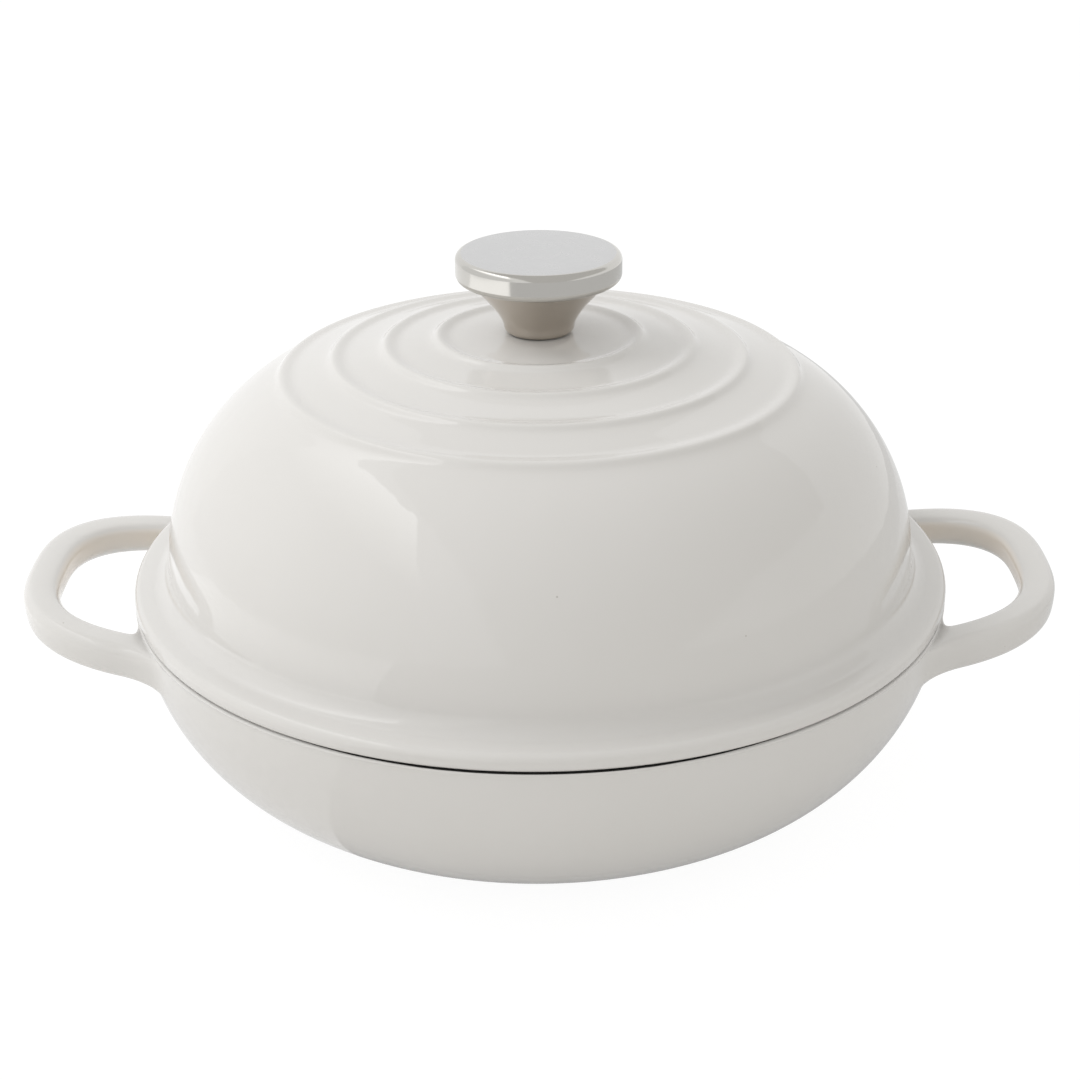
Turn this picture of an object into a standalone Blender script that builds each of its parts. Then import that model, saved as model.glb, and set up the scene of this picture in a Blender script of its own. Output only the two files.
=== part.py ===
"""Cast iron bread oven: a shallow pan with two loop handles and a tall dome lid.

Metres, +Z up. The pan's flat base stands on z = 0 with the turning axis on Z,
and the handles lie along X.
"""

import math

import bmesh
import bpy

# Gap left between pieces that touch
SEAT_GAP = 0.0003

# Pan
PAN_RIM_R = 0.1260
PAN_CURVE_R = 0.0620
PAN_HEIGHT = 0.0622
PAN_WALL = 0.0045
PAN_FLOOR = 0.0048
RIM_BAND = 0.0012
RIM_EDGE = 0.0005

# Pan handles
HANDLE_REACH = 0.0344
HANDLE_SPAN = 0.1030
HANDLE_ROOT_INSET = 0.0217
HANDLE_SQUARENESS = 2.8
HANDLE_BAR_W = 0.0121
HANDLE_BAR_T = 0.0114
HANDLE_CORNER_R = 0.0042
HANDLE_TAPER = 0.0018
HANDLE_DROP = 0.0009
HANDLE_RISE = 0.15
HANDLE_FLARE = 0.0050
HANDLE_FLARE_REACH = 0.0090

# Lid
FLANGE_T = 0.0056
FLANGE_UNDERCUT = 0.0021
FLANGE_EDGE_R = 0.0024
FLANGE_CROWN = 0.0003
DOME_SET_IN = 0.0110
DOME_FILLET = 0.0058
SHOULDER_R = 0.0612
CROWN_R = 0.2500
LID_WALL = 0.0045
KNOB_PAD_R = 0.0100
LIP_DEPTH = 0.0035
LIP_W = 0.0035
LIP_CLEAR = 0.0010

# Ridges on the dome
RIDGE_COUNT = 4
RIDGE_FIRST_R = 0.0303
RIDGE_PITCH = 0.01575
RIDGE_HEIGHT = 0.0009
RIDGE_INNER_W = 0.0034
RIDGE_OUTER_W = 0.0042

# Knob
KNOB_R = 0.0249
CAP_T = 0.0078
CAP_TOP_EDGE = 0.0013
CAP_LOWER_EDGE = 0.0022
NECK_H = 0.0147
NECK_FOOT_R = 0.0098
NECK_TOP_R = 0.0212
NECK_FLARE_POWER = 1.4
NECK_FOOT_EDGE = 0.0007
SHEET_T = 0.0012
GASKET_R = 0.0088
GASKET_T = 0.0008

# Knob fixing
SCREW_R = 0.0030
SCREW_HOLE_CLEAR = 0.0005
SCREW_HEAD_R = 0.0060
SCREW_HEAD_T = 0.0034
SCREW_HEAD_EDGE = 0.0008
SCREW_SLOT_W = 0.0014
SCREW_SLOT_DEPTH = 0.0016
SCREW_END_CLEAR = 0.0015
INSERT_R = 0.0054
INSERT_H = 0.0110
WASHER_R = 0.0082
WASHER_T = 0.0012
LOCK_WASHER_R = 0.0056
LOCK_WASHER_T = 0.0013
LOCK_WASHER_SPLIT_DEG = 12.0

# Facets
BODY_STEPS = 60
KNOB_STEPS = 40
HARDWARE_STEPS = 24
HANDLE_STEPS = 30
CORNER_STEPS = 2

# Places that follow from the sizes above
PAN_BASE_R = PAN_RIM_R - PAN_CURVE_R
DOME_R = PAN_RIM_R - DOME_SET_IN
LID_SEAT_Z = PAN_HEIGHT + SEAT_GAP
FLANGE_R = PAN_RIM_R
FLANGE_TOP_Z = LID_SEAT_Z + FLANGE_T
DOME_FOOT_Z = FLANGE_TOP_Z + FLANGE_CROWN + DOME_FILLET
SHOULDER_AXIS_R = DOME_R - SHOULDER_R
CROWN_AXIS_Z = DOME_FOOT_Z - math.sqrt((CROWN_R - SHOULDER_R) ** 2 - SHOULDER_AXIS_R ** 2)
SCREW_HOLE_R = SCREW_R + SCREW_HOLE_CLEAR
PAD_Z = CROWN_AXIS_Z + math.sqrt(CROWN_R ** 2 - KNOB_PAD_R ** 2)
INNER_PAD_Z = PAD_Z - LID_WALL
GASKET_Z = PAD_Z + SEAT_GAP
NECK_Z = GASKET_Z + GASKET_T + SEAT_GAP
CAP_Z = NECK_Z + NECK_H + SEAT_GAP
INSERT_Z = NECK_Z + SHEET_T + SEAT_GAP
WASHER_Z = INNER_PAD_Z - SEAT_GAP - WASHER_T
LOCK_WASHER_Z = WASHER_Z - SEAT_GAP - LOCK_WASHER_T
SCREW_HEAD_Z = LOCK_WASHER_Z - SEAT_GAP - SCREW_HEAD_T


def material(name, colour, roughness, metallic):
    """Principled material of one even finish."""
    finish = bpy.data.materials.new(name)
    finish.use_nodes = True
    shader = finish.node_tree.nodes["Principled BSDF"]
    shader.inputs["Base Color"].default_value = (*colour, 1.0)
    shader.inputs["Roughness"].default_value = roughness
    shader.inputs["Metallic"].default_value = metallic
    finish.diffuse_color = (*colour, 1.0)
    return finish


def arc(centre_r, centre_z, radius_r, radius_z, start_deg, end_deg, steps):
    """Points on an elliptical arc in the (r, z) half plane, both ends included."""
    points = []
    for step in range(steps + 1):
        angle = math.radians(start_deg + (end_deg - start_deg) * step / steps)
        points.append((centre_r + radius_r * math.cos(angle), centre_z + radius_z * math.sin(angle)))
    return points


def add_object(name, mesh_builder, finish, parent=None):
    """Object from a filled bmesh, with its faces outward and round walls smooth."""
    bmesh.ops.remove_doubles(mesh_builder, verts=mesh_builder.verts, dist=1e-7)
    bmesh.ops.recalc_face_normals(mesh_builder, faces=mesh_builder.faces)
    mesh = bpy.data.meshes.new(name)
    mesh_builder.to_mesh(mesh)
    mesh_builder.free()
    mesh.shade_smooth()
    mesh.set_sharp_from_angle(angle=math.radians(35))
    if finish is not None:
        mesh.materials.append(finish)
    item = bpy.data.objects.new(name, mesh)
    bpy.context.scene.collection.objects.link(item)
    item.parent = parent
    return item


def turned(name, outline, steps, finish, parent=None, closed=True, sweep_deg=360.0):
    """Solid turned about Z from an (r, z) outline; an open outline ends on the axis."""
    shape = bmesh.new()
    corners = [shape.verts.new((r, 0.0, z)) for r, z in outline]
    edges = [shape.edges.new(pair) for pair in zip(corners, corners[1:])]
    whole = sweep_deg == 360.0
    if closed:
        edges.append(shape.edges.new((corners[-1], corners[0])))
    profile = corners + edges
    if not whole:
        profile.append(shape.faces.new(corners))
    bmesh.ops.spin(shape, geom=profile, cent=(0, 0, 0), axis=(0, 0, 1), dvec=(0, 0, 0),
                   angle=math.radians(sweep_deg), steps=steps, use_merge=whole)
    return add_object(name, shape, finish, parent)


def add_boolean(target, cutter, operation):
    """Exact Boolean on the target; the other object becomes a hidden guide."""
    step = target.modifiers.new(cutter.name, "BOOLEAN")
    step.operation = operation
    step.solver = "EXACT"
    step.object = cutter
    cutter.hide_render = True
    cutter.display_type = "WIRE"


def handle_centreline(share):
    """Point on the handle's rounded-square loop, share running from -1 to 1."""
    tip_x = PAN_RIM_R + HANDLE_REACH - HANDLE_BAR_W / 2
    centre_x = PAN_RIM_R - HANDLE_ROOT_INSET
    half_span = (HANDLE_SPAN - HANDLE_BAR_W) / 2
    angle = share * math.radians(90)
    power = 2 / HANDLE_SQUARENESS
    across = math.cos(angle) ** power
    along = math.copysign(abs(math.sin(angle)) ** power, angle)
    return centre_x + (tip_x - centre_x) * across, half_span * along


def handle_top(x):
    """Height of the handle's top face, which rises from the rim towards its tip."""
    half_span = (HANDLE_SPAN - HANDLE_BAR_W) / 2
    root_x = math.sqrt(FLANGE_R ** 2 - half_span ** 2)
    return PAN_HEIGHT - HANDLE_DROP + HANDLE_RISE * (x - root_x)


def handle_section(flare):
    """Rounded bar section, offset outward from the centreline and down from the top."""
    half = HANDLE_BAR_W / 2
    deep = HANDLE_BAR_T
    corners = [(half + flare, 0), (half + flare - HANDLE_TAPER, -deep - flare),
               (-half - flare + HANDLE_TAPER, -deep - flare), (-half - flare, 0)]
    starts = [90, 0, -90, -180]
    points = []
    for (offset, drop), start in zip(corners, starts):
        centre = (offset - math.copysign(HANDLE_CORNER_R, offset),
                  drop + (HANDLE_CORNER_R if drop < 0 else -HANDLE_CORNER_R))
        points += arc(*centre, HANDLE_CORNER_R, HANDLE_CORNER_R, start, start - 90, CORNER_STEPS)
    return points


def handle(name, side):
    """Loop handle swept along its centreline, its ends running on into the pan's wall."""
    shape = bmesh.new()
    rings = []
    stations = [handle_centreline(2 * step / HANDLE_STEPS - 1) for step in range(HANDLE_STEPS + 1)]
    for index, (x, y) in enumerate(stations):
        before = stations[max(index - 1, 0)]
        after = stations[min(index + 1, HANDLE_STEPS)]
        run = math.hypot(after[0] - before[0], after[1] - before[1])
        normal = ((after[1] - before[1]) / run, -(after[0] - before[0]) / run)
        nearness = 1 - max(math.hypot(x, y) - PAN_RIM_R, 0) / HANDLE_FLARE_REACH
        section = handle_section(HANDLE_FLARE * max(nearness, 0) ** 2)
        ring = []
        for offset, drop in section:
            place = (side * (x + normal[0] * offset), y + normal[1] * offset, handle_top(x) + drop)
            ring.append(shape.verts.new(place))
        rings.append(ring)
    for ring, following in zip(rings, rings[1:]):
        for corner in range(len(ring)):
            shape.faces.new((ring[corner - 1], ring[corner], following[corner], following[corner - 1]))
    shape.faces.new(rings[0])
    shape.faces.new(rings[-1])
    return add_object(name, shape, None)


def build_pan(finish, parent):
    """Pan and its two handles as one casting, hollowed last so the handles end in the wall."""
    wall_top = PAN_HEIGHT - RIM_BAND
    outer = [(0, 0)]
    outer += arc(PAN_BASE_R, wall_top, PAN_CURVE_R, wall_top, -90, 0, 14)
    outer += arc(PAN_RIM_R - RIM_EDGE, PAN_HEIGHT - RIM_EDGE, RIM_EDGE, RIM_EDGE, 0, 90, 2)
    outer += [(0, PAN_HEIGHT)]
    pan = turned("pan", outer, BODY_STEPS, finish, parent, closed=False)
    add_boolean(pan, handle("handle_right_blank", 1), "UNION")
    add_boolean(pan, handle("handle_left_blank", -1), "UNION")
    mouth_r = PAN_RIM_R - PAN_WALL
    hollow = [(0, PAN_FLOOR)]
    hollow += arc(PAN_BASE_R, wall_top, mouth_r - PAN_BASE_R, wall_top - PAN_FLOOR, -90, 0, 12)
    hollow += [(mouth_r, PAN_HEIGHT + RIM_BAND), (0, PAN_HEIGHT + RIM_BAND)]
    add_boolean(pan, turned("pan_hollow", hollow, BODY_STEPS, None, closed=False), "DIFFERENCE")


def dome_point(r, inset=0.0, lift=0.0):
    """Point on the dome's skin at radius r, lifted along the skin's outward normal."""
    shoulder = SHOULDER_R - inset
    crown = CROWN_R - inset
    join_r = crown * SHOULDER_AXIS_R / (CROWN_R - SHOULDER_R)
    if r < join_r:
        across, radius, base_z = r, crown, CROWN_AXIS_Z
    else:
        across, radius, base_z = r - SHOULDER_AXIS_R, shoulder, DOME_FOOT_Z
    up = math.sqrt(max(radius ** 2 - across ** 2, 0.0))
    return r + lift * across / radius, base_z + up * (1 + lift / radius)


def dome_stations(inset, steps):
    """Radii spaced evenly round the shoulder, from the dome's foot up to the crown."""
    join = math.asin(SHOULDER_AXIS_R / (CROWN_R - SHOULDER_R))
    return [SHOULDER_AXIS_R + (SHOULDER_R - inset) * math.cos((math.pi / 2 - join) * step / steps)
            for step in range(steps + 1)]


def ridge_outline():
    """Points over the dome's ridges, from the outermost ridge inward."""
    shape = [(RIDGE_OUTER_W, 0.0), (0.0, 1.0), (-RIDGE_INNER_W * 0.4, 0.75), (-RIDGE_INNER_W, 0.0)]
    points = []
    for ridge in reversed(range(RIDGE_COUNT)):
        crest_r = RIDGE_FIRST_R + ridge * RIDGE_PITCH
        points += [dome_point(crest_r + across, 0.0, RIDGE_HEIGHT * share) for across, share in shape]
    return points


def build_lid(finish, parent):
    """Dome lid: flange, shoulder, ridged crown, screw hole and locating lip."""
    outer_ridge_r = RIDGE_FIRST_R + (RIDGE_COUNT - 1) * RIDGE_PITCH + RIDGE_OUTER_W
    edge_r = FLANGE_R - FLANGE_EDGE_R
    under_z = LID_SEAT_Z + FLANGE_UNDERCUT
    outline = arc(FLANGE_R - FLANGE_UNDERCUT, under_z, FLANGE_UNDERCUT, FLANGE_UNDERCUT, -90, 0, 3)
    outline += arc(edge_r, FLANGE_TOP_Z - FLANGE_EDGE_R, FLANGE_EDGE_R, FLANGE_EDGE_R, 0, 90, 3)
    outline += arc(DOME_R + DOME_FILLET, DOME_FOOT_Z, DOME_FILLET, DOME_FILLET, -90, -180, 3)
    outline += [dome_point(r) for r in dome_stations(0.0, 10)[1:] if r > outer_ridge_r + RIDGE_INNER_W]
    outline += ridge_outline()
    outline += [(KNOB_PAD_R, PAD_Z), (SCREW_HOLE_R, PAD_Z), (SCREW_HOLE_R, INNER_PAD_Z)]
    outline += [(KNOB_PAD_R, INNER_PAD_Z)]
    crown_steps = 3
    inner_join = dome_stations(LID_WALL, 1)[-1]
    for step in range(1, crown_steps):
        outline.append(dome_point(KNOB_PAD_R + (inner_join - KNOB_PAD_R) * step / crown_steps, LID_WALL))
    outline += [dome_point(r, LID_WALL) for r in reversed(dome_stations(LID_WALL, 7))]
    lip_outer_r = PAN_RIM_R - PAN_WALL - LIP_CLEAR
    lip_inner_r = lip_outer_r - LIP_W
    outline += [(DOME_R - LID_WALL, FLANGE_TOP_Z), (lip_inner_r, LID_SEAT_Z)]
    outline += [(lip_inner_r + LIP_W * 0.1, LID_SEAT_Z - LIP_DEPTH)]
    outline += [(lip_outer_r - LIP_W * 0.2, LID_SEAT_Z - LIP_DEPTH), (lip_outer_r, LID_SEAT_Z)]
    turned("lid", outline, BODY_STEPS, finish, parent)


def neck_radius(height):
    """Outer radius of the knob's flared neck at a height above its foot."""
    return NECK_FOOT_R + (NECK_TOP_R - NECK_FOOT_R) * (height / NECK_H) ** NECK_FLARE_POWER


def build_knob_neck(finish, parent):
    """Flared sheet collar with a pierced foot."""
    flare_steps = 6
    heights = [NECK_FOOT_EDGE + (NECK_H - NECK_FOOT_EDGE) * step / flare_steps
               for step in range(flare_steps + 1)]
    outline = [(SCREW_HOLE_R, NECK_Z), (NECK_FOOT_R - NECK_FOOT_EDGE, NECK_Z)]
    outline += [(neck_radius(height), NECK_Z + height) for height in heights]
    inner_heights = [height for height in reversed(heights) if height > SHEET_T * 1.2]
    outline += [(neck_radius(height) - SHEET_T, NECK_Z + height) for height in inner_heights]
    outline += [(neck_radius(SHEET_T) - SHEET_T, NECK_Z + SHEET_T), (SCREW_HOLE_R, NECK_Z + SHEET_T)]
    turned("knob_neck", outline, KNOB_STEPS, finish, parent)


def build_knob_cap(finish, parent):
    """Hollow disc with a soft top edge, a rounder lower edge and an open underside."""
    top_z = CAP_Z + CAP_T
    mouth_r = NECK_TOP_R - SHEET_T * 1.5
    inner_r = KNOB_R - SHEET_T
    inner_edge = CAP_LOWER_EDGE - SHEET_T
    outline = [(0, top_z)]
    outline += arc(KNOB_R - CAP_TOP_EDGE, top_z - CAP_TOP_EDGE, CAP_TOP_EDGE, CAP_TOP_EDGE, 90, 0, 3)
    outline += arc(KNOB_R - CAP_LOWER_EDGE, CAP_Z + CAP_LOWER_EDGE, CAP_LOWER_EDGE, CAP_LOWER_EDGE, 0, -90, 4)
    outline += [(mouth_r, CAP_Z), (mouth_r, CAP_Z + SHEET_T)]
    outline += arc(inner_r - inner_edge, CAP_Z + CAP_LOWER_EDGE, inner_edge, inner_edge, -90, 0, 2)
    outline += [(inner_r, top_z - SHEET_T), (0, top_z - SHEET_T)]
    turned("knob_cap", outline, KNOB_STEPS, finish, parent, closed=False)


def ring(name, inner_r, outer_r, low_z, thickness, finish, parent, sweep_deg=360.0):
    """Flat ring, whole or split."""
    high_z = low_z + thickness
    outline = [(inner_r, low_z), (outer_r, low_z), (outer_r, high_z), (inner_r, high_z)]
    turned(name, outline, HARDWARE_STEPS, finish, parent, sweep_deg=sweep_deg)


def build_knob_screw(finish, parent):
    """Slotted cheese-head screw that reaches up through the lid into the insert."""
    head_top_z = SCREW_HEAD_Z + SCREW_HEAD_T
    end_z = INSERT_Z + INSERT_H - SCREW_END_CLEAR
    outline = [(0, SCREW_HEAD_Z)]
    outline += arc(SCREW_HEAD_R - SCREW_HEAD_EDGE, SCREW_HEAD_Z + SCREW_HEAD_EDGE,
                   SCREW_HEAD_EDGE, SCREW_HEAD_EDGE, -90, 0, 2)
    outline += [(SCREW_HEAD_R, head_top_z), (SCREW_R, head_top_z), (SCREW_R, end_z - SCREW_R / 4)]
    outline += [(SCREW_R * 3 / 4, end_z), (0, end_z)]
    screw = turned("knob_screw", outline, HARDWARE_STEPS, finish, parent, closed=False)
    slot = bmesh.new()
    bmesh.ops.create_cube(slot, size=1.0)
    bmesh.ops.scale(slot, verts=slot.verts, vec=(SCREW_HEAD_R * 3, SCREW_SLOT_W, SCREW_SLOT_DEPTH * 2))
    bmesh.ops.translate(slot, verts=slot.verts, vec=(0, 0, SCREW_HEAD_Z))
    add_boolean(screw, add_object("screw_slot", slot, None), "DIFFERENCE")


def build_knob_fixing(steel, rubber, parent):
    """Gasket, threaded insert, washers and screw that hold the knob on the lid."""
    ring("knob_gasket", SCREW_HOLE_R, GASKET_R, GASKET_Z, GASKET_T, rubber, parent)
    ring("knob_insert", SCREW_R + SEAT_GAP, INSERT_R, INSERT_Z, INSERT_H, steel, parent)
    ring("knob_washer", SCREW_HOLE_R, WASHER_R, WASHER_Z, WASHER_T, steel, parent)
    ring("knob_lock_washer", SCREW_HOLE_R, LOCK_WASHER_R, LOCK_WASHER_Z, LOCK_WASHER_T, steel, parent,
         360.0 - LOCK_WASHER_SPLIT_DEG)
    build_knob_screw(steel, parent)


def main():
    for item in list(bpy.data.objects):
        bpy.data.objects.remove(item, do_unlink=True)
    enamel = material("vitreous_enamel", (0.78, 0.77, 0.74), 0.12, 0.0)
    lid_enamel = material("lid_vitreous_enamel", (0.79, 0.78, 0.75), 0.12, 0.0)
    satin_steel = material("satin_stainless", (0.62, 0.61, 0.59), 0.28, 1.0)
    polished_steel = material("polished_stainless", (0.50, 0.47, 0.43), 0.16, 1.0)
    zinc_steel = material("zinc_plated_steel", (0.55, 0.55, 0.54), 0.35, 1.0)
    rubber = material("black_silicone", (0.02, 0.02, 0.02), 0.6, 0.0)
    lid_axis = bpy.data.objects.new("lid_axis", None)
    bpy.context.scene.collection.objects.link(lid_axis)
    build_pan(enamel, None)
    build_lid(lid_enamel, lid_axis)
    build_knob_neck(polished_steel, lid_axis)
    build_knob_cap(satin_steel, lid_axis)
    build_knob_fixing(zinc_steel, rubber, lid_axis)


main()
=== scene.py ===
"""Looks of a white enamelled cast iron bread oven, built round its CAD frame.

Metres, +Z up, the pan standing on z = 0 with its turning axis on Z and its handles along X.
"""

from math import acos, atan2, copysign, cos, degrees, exp, hypot, pi, radians, sin, sqrt

import bmesh
import bpy
from bpy.props import FloatProperty, FloatVectorProperty, IntProperty, PointerProperty
from bpy.types import NodeSocket, Operator, Panel, PropertyGroup, Scene
from mathutils import Matrix, Vector


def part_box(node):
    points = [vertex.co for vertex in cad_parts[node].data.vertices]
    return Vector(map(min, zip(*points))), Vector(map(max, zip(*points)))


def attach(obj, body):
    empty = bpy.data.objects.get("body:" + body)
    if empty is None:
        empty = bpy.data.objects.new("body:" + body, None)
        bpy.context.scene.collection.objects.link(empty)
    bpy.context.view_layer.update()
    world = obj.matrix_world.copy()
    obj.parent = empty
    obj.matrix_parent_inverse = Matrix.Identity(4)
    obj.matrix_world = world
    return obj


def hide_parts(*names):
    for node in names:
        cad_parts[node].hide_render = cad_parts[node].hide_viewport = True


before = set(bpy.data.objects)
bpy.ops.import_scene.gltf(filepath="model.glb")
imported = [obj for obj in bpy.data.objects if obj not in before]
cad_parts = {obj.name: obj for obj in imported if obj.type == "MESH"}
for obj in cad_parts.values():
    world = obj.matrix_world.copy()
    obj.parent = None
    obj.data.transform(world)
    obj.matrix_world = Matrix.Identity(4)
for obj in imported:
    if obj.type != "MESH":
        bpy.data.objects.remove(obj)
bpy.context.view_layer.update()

bl_info = {
    "name": "Enamelled bread oven",
    "version": (1, 0, 0),
    "blender": (4, 5, 0),
    "location": "3D View > Sidebar > Bread oven",
    "description": "Builds an enamelled cast iron bread oven with its knob, finishes and studio",
    "category": "Object",
}

PAN_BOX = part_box("pan")
LID_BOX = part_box("lid")
CAP_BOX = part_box("knob_cap")
NECK_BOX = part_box("knob_neck")
GASKET_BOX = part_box("knob_gasket")
INSERT_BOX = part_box("knob_insert")
WASHER_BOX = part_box("knob_washer")
LOCK_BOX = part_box("knob_lock_washer")
SCREW_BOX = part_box("knob_screw")

LIP_DEPTH = 0.0035
SEAT_Z = LID_BOX[0].z + LIP_DEPTH
RIM_GAP = 0.00006  # room between the pan's rim and the lid's seat
CAP_RAISE = 0.0004  # height of the disc's top above the CAD's


def srgb(code):
    """Linear red, green and blue of an sRGB hex colour."""
    channels = [int(code[place:place + 2], 16) / 255 for place in (1, 3, 5)]
    return tuple(c / 12.92 if c <= 0.04045 else ((c + 0.055) / 1.055) ** 2.4 for c in channels)


def number(name, description, default, **settings):
    """Property that holds a plain number."""
    return FloatProperty(name=name, description=description, default=default, **settings)


def length(name, description, default):
    """Property that holds a length in metres."""
    return number(name, description, default, unit="LENGTH", precision=5)


def colour(name, description, code):
    """Property that holds a colour given as sRGB hex."""
    return FloatVectorProperty(name=name, description=description, default=srgb(code),
                               subtype="COLOR", size=3, min=0.0, max=1.0)


class BREADOVEN_PG_pan(PropertyGroup):
    """Sizes of the pan casting"""

    rim_radius: length("Rim radius", "Radius of the rim's outer edge", PAN_BOX[1].y)
    rim_height: length("Rim height", "Height of the rim's flat top", SEAT_Z - RIM_GAP)
    curve_radius: length("Wall curve", "Radius of the curve from the base up to the rim", 0.0620)
    wall: length("Wall", "Thickness of the wall", 0.0045)
    floor: length("Floor", "Thickness of the floor", 0.0048)
    rim_edge: length("Rim edge", "Rounding of the rim's edges", 0.0006)
    lip: length("Lip", "How far the rim stands out from the wall", 0.0004)
    foot_recess: length("Foot recess", "How far the base's middle lies above its ring", 0.0005)


class BREADOVEN_PG_handle(PropertyGroup):
    """Sizes of the two loop handles"""

    reach: length("Reach", "Distance from the axis to the handle's outermost edge", PAN_BOX[1].x)
    span: length("Span", "Width of the loop across its outer sides", 0.1030)
    root_centre: length("Loop centre", "Distance from the axis to the loop's own centre", 0.1043)
    squareness: number("Squareness", "2 is an ellipse and more is squarer", 2.8)
    bar_width: length("Bar width", "Width of the bar at its roots, seen from above", 0.0126)
    tip_width: length("Tip width", "Width of the bar at the tip, seen from above", 0.0114)
    bar_depth: length("Bar depth", "Depth of the bar seen from the side", 0.0110)
    rise: number("Rise", "Slope of the top face towards the tip", 0.15)
    drop: length("Drop", "How far the root's top lies below the rim", 0.0003)
    taper: number("Taper", "Share by which the bar is narrower below", 0.14)
    heel: number("Heel", "Share by which the bar is deeper on its outer side", 0.10)


class BREADOVEN_PG_lid(PropertyGroup):
    """Sizes of the lid casting"""

    flange_radius: length("Flange radius", "Radius of the flange's edge", LID_BOX[1].y)
    seat_height: length("Seat height", "Height of the face that rests on the pan", SEAT_Z)
    flange_thickness: length("Flange thickness", "Thickness of the flange at its edge", 0.0056)
    flange_undercut: length("Lower edge", "Rounding of the flange's lower edge", 0.0021)
    flange_edge: length("Upper edge", "Rounding of the flange's upper edge", 0.0024)
    dome_radius: length("Dome radius", "Radius of the dome's upright wall", 0.1150)
    fillet: length("Fillet", "Radius of the hollow between flange and dome", 0.0058)
    shoulder: length("Shoulder", "Radius of the dome's shoulder", 0.0612)
    crown: length("Crown", "Radius of the dome's crown", 0.2500)
    wall: length("Wall", "Thickness of the wall", 0.0045)
    lip_depth: length("Lip depth", "Depth of the locating lip", LIP_DEPTH)
    lip_width: length("Lip width", "Thickness of the locating lip", 0.0035)
    lip_radius: length("Lip radius", "Outer radius of the locating lip", 0.1205)
    hole_radius: length("Hole radius", "Radius of the knob screw's hole", 0.0035)
    ridge_count: IntProperty(name="Rings", description="Number of raised rings", default=4,
                             min=0, max=6)
    ridge_first: length("First ring", "Radius of the innermost ring's crest", 0.0303)
    ridge_pitch: length("Ring pitch", "Distance from one crest to the next", 0.01575)
    ridge_height: length("Ring height", "Height of a ring above the dome", 0.0014)
    ridge_inner: length("Ring inner flank", "Width of a ring's inner flank", 0.0024)
    ridge_outer: length("Ring outer flank", "Width of a ring's steep outer flank", 0.0015)
    ridge_foot: length("Ring foot", "Width of the hollow foot outside a ring", 0.0034)
    foot_share: number("Foot share", "Share of a ring's height in its outer foot", 0.34)


class BREADOVEN_PG_knob(PropertyGroup):
    """Sizes of the knob and its fixing"""

    cap_radius: length("Cap radius", "Radius of the knob's disc", CAP_BOX[1].x)
    cap_top: length("Cap top", "Height of the disc's flat top", CAP_BOX[1].z + CAP_RAISE)
    cap_top_edge: length("Cap upper edge", "Rounding of the disc's upper edge", 0.0020)
    cap_lower_edge: length("Cap lower edge", "Rounding of the disc's lower edge", 0.0022)
    neck_sole: length("Neck sole", "Radius of the collar's flat sole", 0.0091)
    neck_foot: length("Neck foot", "Radius of the collar above its rounded foot", 0.0107)
    foot_height: length("Foot height", "Height of the rounded foot", 0.0022)
    foot_skirt: length("Foot skirt", "How far the foot reaches down round the gasket", 0.0011)
    neck_top: length("Neck top", "Radius of the collar at its top", NECK_BOX[1].x)
    neck_power: number("Neck flare", "1 is a straight cone and more flares", 1.4)
    sheet: length("Sheet", "Thickness of the knob's steel sheet", 0.0012)
    screw_radius: length("Screw radius", "Radius of the screw's shank", 0.0030)
    head_height: length("Head height", "Height of the screw's head", 0.0034)
    slot_width: length("Slot width", "Width of the slot in the screw's head", 0.0014)
    slot_depth: length("Slot depth", "Depth of the slot in the screw's head", 0.0016)
    thread_pitch: length("Thread pitch", "Distance from one thread to the next", 0.0010)


class BREADOVEN_PG_finish(PropertyGroup):
    """Colours of the finishes"""

    enamel: colour("Enamel", "White gloss enamel", "#D8D7D6")
    enamel_thin: colour("Thin enamel", "The same enamel where it lies thinner", "#D5D4D2")
    # Painted warm bounce light: beige standing in for light thrown from the pan's wall into the
    # handles' openings
    painted_bounce_beige: colour("Beige enamel", "Its cast inside the handles' openings", "#E3DACF")
    black_enamel: colour("Black enamel", "Matte black enamel on rim and seat", "#1A1918")
    interior: colour("Interior", "Satin black enamel inside", "#262524")
    satin_steel: colour("Satin steel", "Stainless steel of the disc", "#CDCDCD")
    polished_steel: colour("Polished steel", "Stainless steel of the disc's side", "#CCCAC5")
    bright_steel: colour("Bright steel", "Stainless steel of the collar", "#CCC4BA")
    zinc: colour("Zinc", "Zinc plating on the hidden fixing", "#B4B4B2")
    silicone: colour("Silicone", "Gasket under the collar", "#1B1A19")


class BREADOVEN_PG_stage(PropertyGroup):
    """Camera, lamps and surroundings"""

    camera_distance: length("Camera distance", "Distance from the camera to its target", 0.7000)
    camera_pitch: number("Camera pitch", "How far the camera looks down", 0.42122, subtype="ANGLE")
    camera_turn: number("Camera turn", "How far round to the left", 0.02174, subtype="ANGLE")
    target_right: length("Target offset", "How far right of the axis the camera looks", 0.0146)
    target_height: length("Target height", "Height of the point that the camera looks at", 0.07406)
    lens: number("Lens", "Focal length in millimetres on a 36 mm sensor", 74.42)
    lens_shift: number("Lens shift", "Sideways, as a share of the frame's width", -0.04426)
    key: number("Key lamp", "Radiance of the wide lamp on the left", 0.48)
    high: number("High lamp", "Radiance of the lamp high on the left", 4.05)
    ambient: number("Ambient", "Strength of the room's own light", 0.80)
    box_low: number("Light box low", "Brightness of the light box at its foot", 0.9)
    box_high: number("Light box high", "Brightness of the light box at its top", 2.9)
    room: colour("Room", "Colour of the room's own light", "#FFFDF9")


# Outlines in the (r, z) half plane

def arc(centre_r, centre_z, radius, start_deg, end_deg, steps):
    """Points on a circular arc, both ends included."""
    points = []
    for step in range(steps + 1):
        angle = radians(start_deg + (end_deg - start_deg) * step / steps)
        points.append((centre_r + radius * cos(angle), centre_z + radius * sin(angle)))
    return points


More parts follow.
